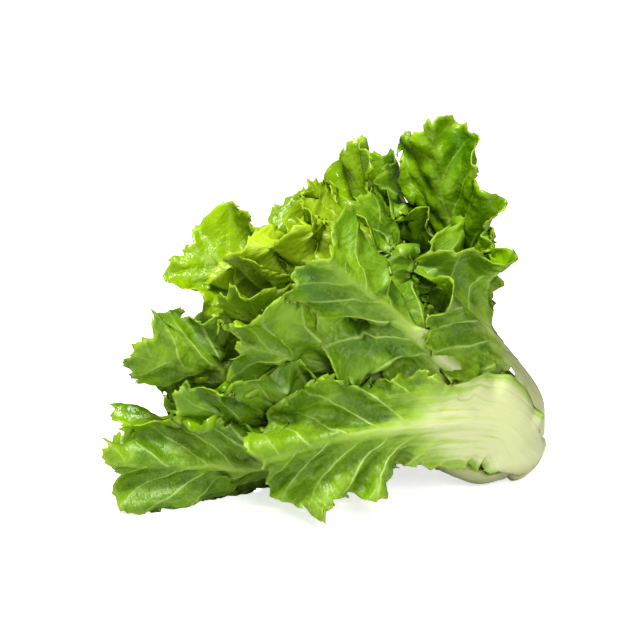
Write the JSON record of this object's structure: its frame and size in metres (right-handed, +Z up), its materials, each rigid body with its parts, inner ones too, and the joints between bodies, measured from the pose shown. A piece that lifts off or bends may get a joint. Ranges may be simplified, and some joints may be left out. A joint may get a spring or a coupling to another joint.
{
  "type": "escarole head",
  "caption": "Head of escarole lying on its side: toothed, wavy green leaves with fleshy pale ribs round a curly bright heart, with a short cut stem.",
  "frame": {"origin": "centre of the bounding box's underside, on the table", "axes": "+X towards the cut stem end, +Z up from the table, -Y the side that shows the broad front leaves"},
  "size_m": [0.2677, 0.2092, 0.2283],
  "materials": {
    "leaf": "fresh green leaf blade, waxy, lets light through",
    "heart_leaf": "young yellow-green leaf blade, lets light through",
    "cut_stem": "moist cut stem, cream"
  },
  "bodies": {
    "root": {"crown": "cut_stem", "leaf_front_low": "leaf", "leaf_back_low": "leaf", "leaf_right": "leaf", "leaf_left_low": "leaf", "leaf_back_high": "leaf", "leaf_front_high": "leaf", "leaf_back_left": "leaf", "leaf_top_right": "leaf", "leaf_front_left_low": "leaf", "leaf_back_middle": "leaf", "leaf_right_inner": "leaf", "leaf_under": "leaf", "leaf_back_top": "leaf", "leaf_front_middle": "leaf", "leaf_back_inner": "leaf", "leaf_top_middle": "leaf", "leaf_left_middle": "leaf", "leaf_back_upper": "leaf", "leaf_front_upper": "leaf", "leaf_left_high": "leaf", "leaf_top_left": "leaf", "leaf_left_top": "leaf", "leaf_back_far": "leaf", "leaf_heart_right": "leaf", "heart_1": "heart_leaf", "heart_2": "heart_leaf", "heart_3": "heart_leaf", "heart_4": "heart_leaf", "heart_5": "heart_leaf", "heart_6": "heart_leaf"}
  },
  "joints": []
}
